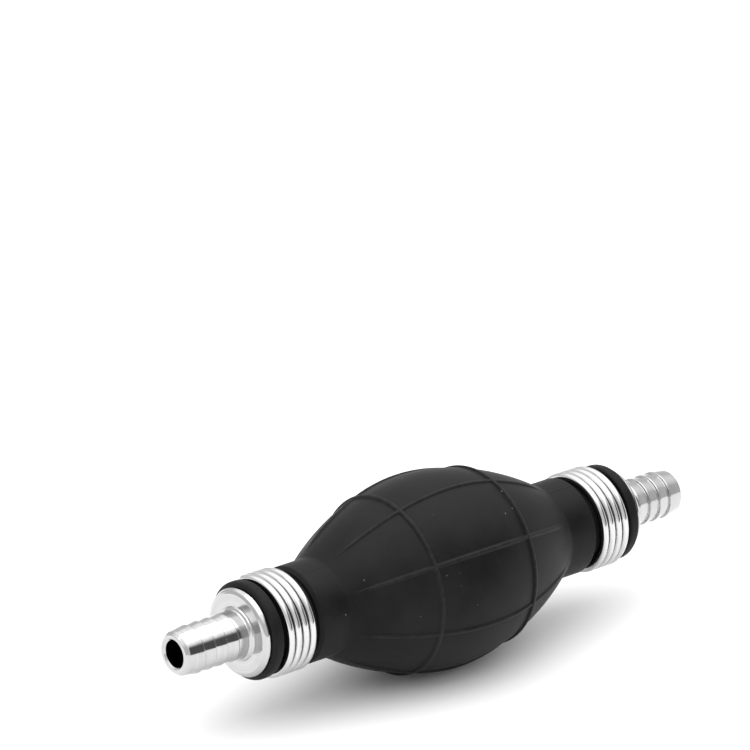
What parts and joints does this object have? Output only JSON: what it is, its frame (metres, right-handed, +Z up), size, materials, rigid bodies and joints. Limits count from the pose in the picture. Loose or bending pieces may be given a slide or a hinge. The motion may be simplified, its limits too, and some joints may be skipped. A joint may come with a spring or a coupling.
{
  "type": "siphon bulb pump",
  "caption": "Hand-squeezed siphon or fuel primer pump: ribbed rubber bulb with a barbed hose fitting and a one-way ball valve in each neck.",
  "frame": {"origin": "under the middle of the bulb, on the surface that the pump lies on", "axes": "+X along the pump's axis in the direction of flow, from the inlet barb to the outlet barb; +Z up"},
  "size_m": [0.1444, 0.0434, 0.0434],
  "materials": {
    "bulb_rubber": "matte moulded black rubber",
    "aluminium": "bright turned, fine turning lines",
    "clamp_wire": "bright drawn wire",
    "nitrile": "smooth black nitrile",
    "ball_steel": "polished",
    "spring_steel": "drawn spring wire",
    "white_plastic": "natural acetal"
  },
  "bodies": {
    "pump": {"bulb": "bulb_rubber", "inlet_fitting": "aluminium", "outlet_fitting": "aluminium", "inlet_clamp": "clamp_wire", "outlet_clamp": "clamp_wire", "inlet_valve_seat": "nitrile", "inlet_valve_spring": "spring_steel", "inlet_spring_cup": "white_plastic", "inlet_snap_ring": "spring_steel", "outlet_valve_seat": "nitrile", "outlet_valve_spring": "spring_steel", "outlet_seat_washer": "ball_steel", "outlet_snap_ring": "spring_steel"},
    "front_wall": {"front_press_wall": "bulb_rubber"},
    "rear_wall": {"rear_press_wall": "bulb_rubber"},
    "inlet_ball": {"inlet_valve_ball": "ball_steel"},
    "outlet_ball": {"outlet_valve_ball": "ball_steel"}
  },
  "joints": [
    {"name": "front_squeeze", "type": "slide", "parent": "pump", "child": "front_wall", "axis": [0, 0.9613, 0.2756], "range_m": [0, 0.009], "stiffness_N_per_m": 900},
    {"name": "rear_squeeze", "type": "slide", "parent": "pump", "child": "rear_wall", "axis": [0, -0.9613, -0.2756], "range_m": [0, 0.009], "stiffness_N_per_m": 900},
    {"name": "inlet_ball_lift", "type": "slide", "parent": "pump", "child": "inlet_ball", "axis": [1, 0, 0], "range_m": [0, 0.002], "stiffness_N_per_m": 60, "springref_m": -0.001, "deforming": ["inlet_valve_spring"]},
    {"name": "outlet_ball_lift", "type": "slide", "parent": "pump", "child": "outlet_ball", "axis": [1, 0, 0], "range_m": [0, 0.002], "stiffness_N_per_m": 60, "springref_m": -0.001, "deforming": ["outlet_valve_spring"]}
  ],
  "couplings": [
    {"joint": "rear_squeeze", "follows": "front_squeeze", "ratio": 1}
  ]
}
